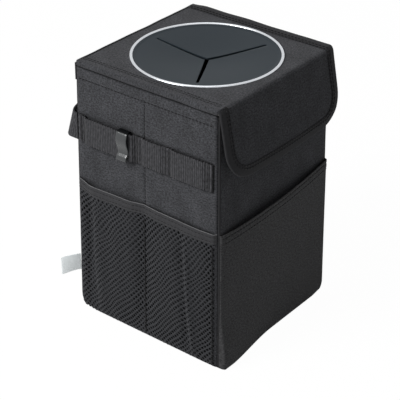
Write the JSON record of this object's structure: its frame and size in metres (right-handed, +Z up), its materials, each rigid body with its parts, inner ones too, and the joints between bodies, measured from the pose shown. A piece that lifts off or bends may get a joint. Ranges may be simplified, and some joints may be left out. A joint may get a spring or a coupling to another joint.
{
  "type": "car trash bin",
  "caption": "Square black fabric bin for a car with a fold-back lid, front flap, round slit membrane in a silver ring, mesh and front pockets, webbing, strap clip and hanging loop.",
  "frame": {"origin": "centre of the base, on the surface the bin stands on", "axes": "+Z up, the flap and the fabric pocket face -Y, the lid hinge is at +Y, the strap clip is at -X"},
  "size_m": [0.1794, 0.1833, 0.2505],
  "materials": {
    "woven_fabric": "fine plain weave, matt",
    "stiffener_board": "plain sheet",
    "binding_tape": "ribbed tape, slight sheen",
    "lining": "smooth film with a soft sheen",
    "mesh_net": "open knitted net",
    "elastic": "ribbed elastic",
    "webbing": "ribbed webbing",
    "closure_tape": "hook and loop pile",
    "tag_ribbon": "satin ribbon",
    "silver_ring": "silver, satin gloss",
    "black_plastic": "fine texture",
    "soft_membrane": "smooth, satin",
    "clip_plastic": "polished black"
  },
  "bodies": {
    "bin": {"front_panel": "woven_fabric", "back_panel": "woven_fabric", "left_panel": "woven_fabric", "right_panel": "woven_fabric", "base_panel": "woven_fabric", "front_board": "stiffener_board", "back_board": "stiffener_board", "left_board_front": "stiffener_board", "left_board_rear": "stiffener_board", "right_board_front": "stiffener_board", "right_board_rear": "stiffener_board", "base_board": "stiffener_board", "front_left_piping": "binding_tape", "front_right_piping": "binding_tape", "rear_left_piping": "binding_tape", "rear_right_piping": "binding_tape", "liner": "lining", "front_pocket": "woven_fabric", "left_mesh_pocket": "mesh_net", "left_pocket_elastic": "elastic", "right_mesh_pocket": "mesh_net", "right_pocket_elastic": "elastic", "left_webbing": "webbing", "right_webbing": "webbing", "hanging_strap": "webbing", "side_tag": "tag_ribbon", "loop_tape": "closure_tape", "hinge_tape": "woven_fabric"},
    "lid": {"lid_cover": "woven_fabric", "lid_board": "stiffener_board", "lid_lining": "lining", "lid_binding_left": "binding_tape", "lid_binding_right": "binding_tape", "trim_ring": "silver_ring", "clamp_ring": "black_plastic", "membrane": "soft_membrane"},
    "flap": {"flap_cover": "woven_fabric", "flap_lining": "lining", "flap_binding": "binding_tape", "hook_tape": "closure_tape"},
    "clip": {"strap_clip": "clip_plastic"}
  },
  "joints": [
    {"name": "lid_hinge", "type": "hinge", "parent": "bin", "child": "lid", "pos_m": [0, 0.0757, 0.2469], "axis": [-1, 0, 0], "range_deg": [0, 180]},
    {"name": "flap_fold", "type": "hinge", "parent": "lid", "child": "flap", "pos_m": [0, -0.0776, 0.2469], "axis": [-1, 0, 0], "range_deg": [-6.5, 150]},
    {"name": "clip_slide", "type": "slide", "parent": "bin", "child": "clip", "axis": [0, 1, 0], "range_m": [-0.0025, 0.033]}
  ]
}
